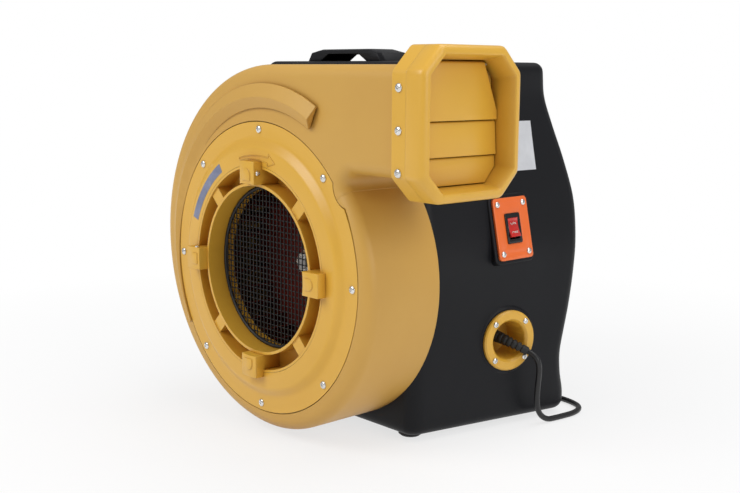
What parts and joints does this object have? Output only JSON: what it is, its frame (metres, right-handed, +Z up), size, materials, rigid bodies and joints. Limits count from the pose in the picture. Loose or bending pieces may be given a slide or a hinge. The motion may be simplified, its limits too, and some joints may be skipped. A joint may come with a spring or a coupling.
{
  "type": "bouncy castle blower",
  "caption": "Centrifugal blower with a round inlet, a square outlet with hanging flaps, a rear motor housing, a handle and a mains cord.",
  "frame": {"origin": "centre of the object's box at the floor, without its cord", "axes": "+X out of the air outlet, +Y from the inlet to the motor housing, +Z up"},
  "size_m": [0.5134, 0.5091, 0.477],
  "materials": {
    "yellow_plastic": "satin moulded, golden yellow",
    "black_plastic": "satin moulded, blue black",
    "black_gloss": "glossy black",
    "orange_plastic": "satin orange",
    "red_plastic": "glossy red",
    "impeller_plastic": "dark red moulded",
    "screw_steel": "bright plated",
    "steel": "machined",
    "mesh_wire": "black coated wire",
    "aluminium_casting": "die cast",
    "core_steel": "laminated",
    "copper": "enamelled winding",
    "black_rubber": "matt rubber",
    "cord_sheath": "satin rubber sheath",
    "white_plastic": "matt white"
  },
  "bodies": {
    "casing": {"scroll_housing": "yellow_plastic", "scroll_back_plate": "yellow_plastic", "housing_screws": "screw_steel", "inlet_cover": "yellow_plastic", "cover_screws": "screw_steel", "inlet_collar": "yellow_plastic", "inlet_lugs": "yellow_plastic", "lug_screws": "screw_steel", "inlet_guard": "mesh_wire", "outlet_collar": "yellow_plastic", "collar_screws": "screw_steel", "outlet_bezel": "yellow_plastic", "flap_pins": "steel", "motor_housing": "black_plastic", "foot_front_left": "black_rubber", "foot_front_right": "black_rubber", "foot_rear_left": "black_rubber", "foot_rear_right": "black_rubber", "carry_handle": "black_plastic", "handle_screws": "screw_steel", "switch_plate": "orange_plastic", "plate_screws": "screw_steel", "switch_body": "black_gloss", "cord_grommet": "yellow_plastic", "grommet_screws": "screw_steel", "strain_relief": "black_rubber", "power_cord": "cord_sheath", "cord_coil": "cord_sheath", "cord_plug": "black_rubber", "stator_core": "core_steel", "stator_windings": "copper", "front_end_shield": "aluminium_casting", "rear_end_shield": "aluminium_casting", "front_bearing": "steel", "rear_bearing": "steel", "motor_bolts": "screw_steel", "motor_screws": "screw_steel", "run_capacitor": "white_plastic", "capacitor_clamp": "steel", "terminal_block": "white_plastic"},
    "fan": {"impeller": "impeller_plastic", "impeller_nut": "screw_steel", "motor_shaft": "steel", "rotor_core": "core_steel", "cooling_fan": "black_plastic"},
    "upper_flap": {"flap_upper": "yellow_plastic"},
    "middle_flap": {"flap_middle": "yellow_plastic"},
    "lower_flap": {"flap_lower": "yellow_plastic"},
    "rocker": {"switch_rocker": "red_plastic"}
  },
  "joints": [
    {"name": "fan_spin", "type": "hinge", "parent": "casing", "child": "fan", "pos_m": [-0.04125, -0.0867, 0.21], "axis": [0, 1, 0], "continuous": true},
    {"name": "upper_flap_swing", "type": "hinge", "parent": "casing", "child": "upper_flap", "pos_m": [0.22975, -0.1327, 0.4577], "axis": [0, -1, 0], "range_deg": [0, 75]},
    {"name": "middle_flap_swing", "type": "hinge", "parent": "casing", "child": "middle_flap", "pos_m": [0.22975, -0.1327, 0.39578], "axis": [0, -1, 0], "range_deg": [0, 75]},
    {"name": "lower_flap_swing", "type": "hinge", "parent": "casing", "child": "lower_flap", "pos_m": [0.22975, -0.1327, 0.35837], "axis": [0, -1, 0], "range_deg": [0, 75]},
    {"name": "rocker_tilt", "type": "hinge", "parent": "casing", "child": "rocker", "pos_m": [0.13693, 0.06971, 0.25575], "axis": [0.0661, 0.9977, 0.0171], "range_deg": [0, 14]}
  ]
}
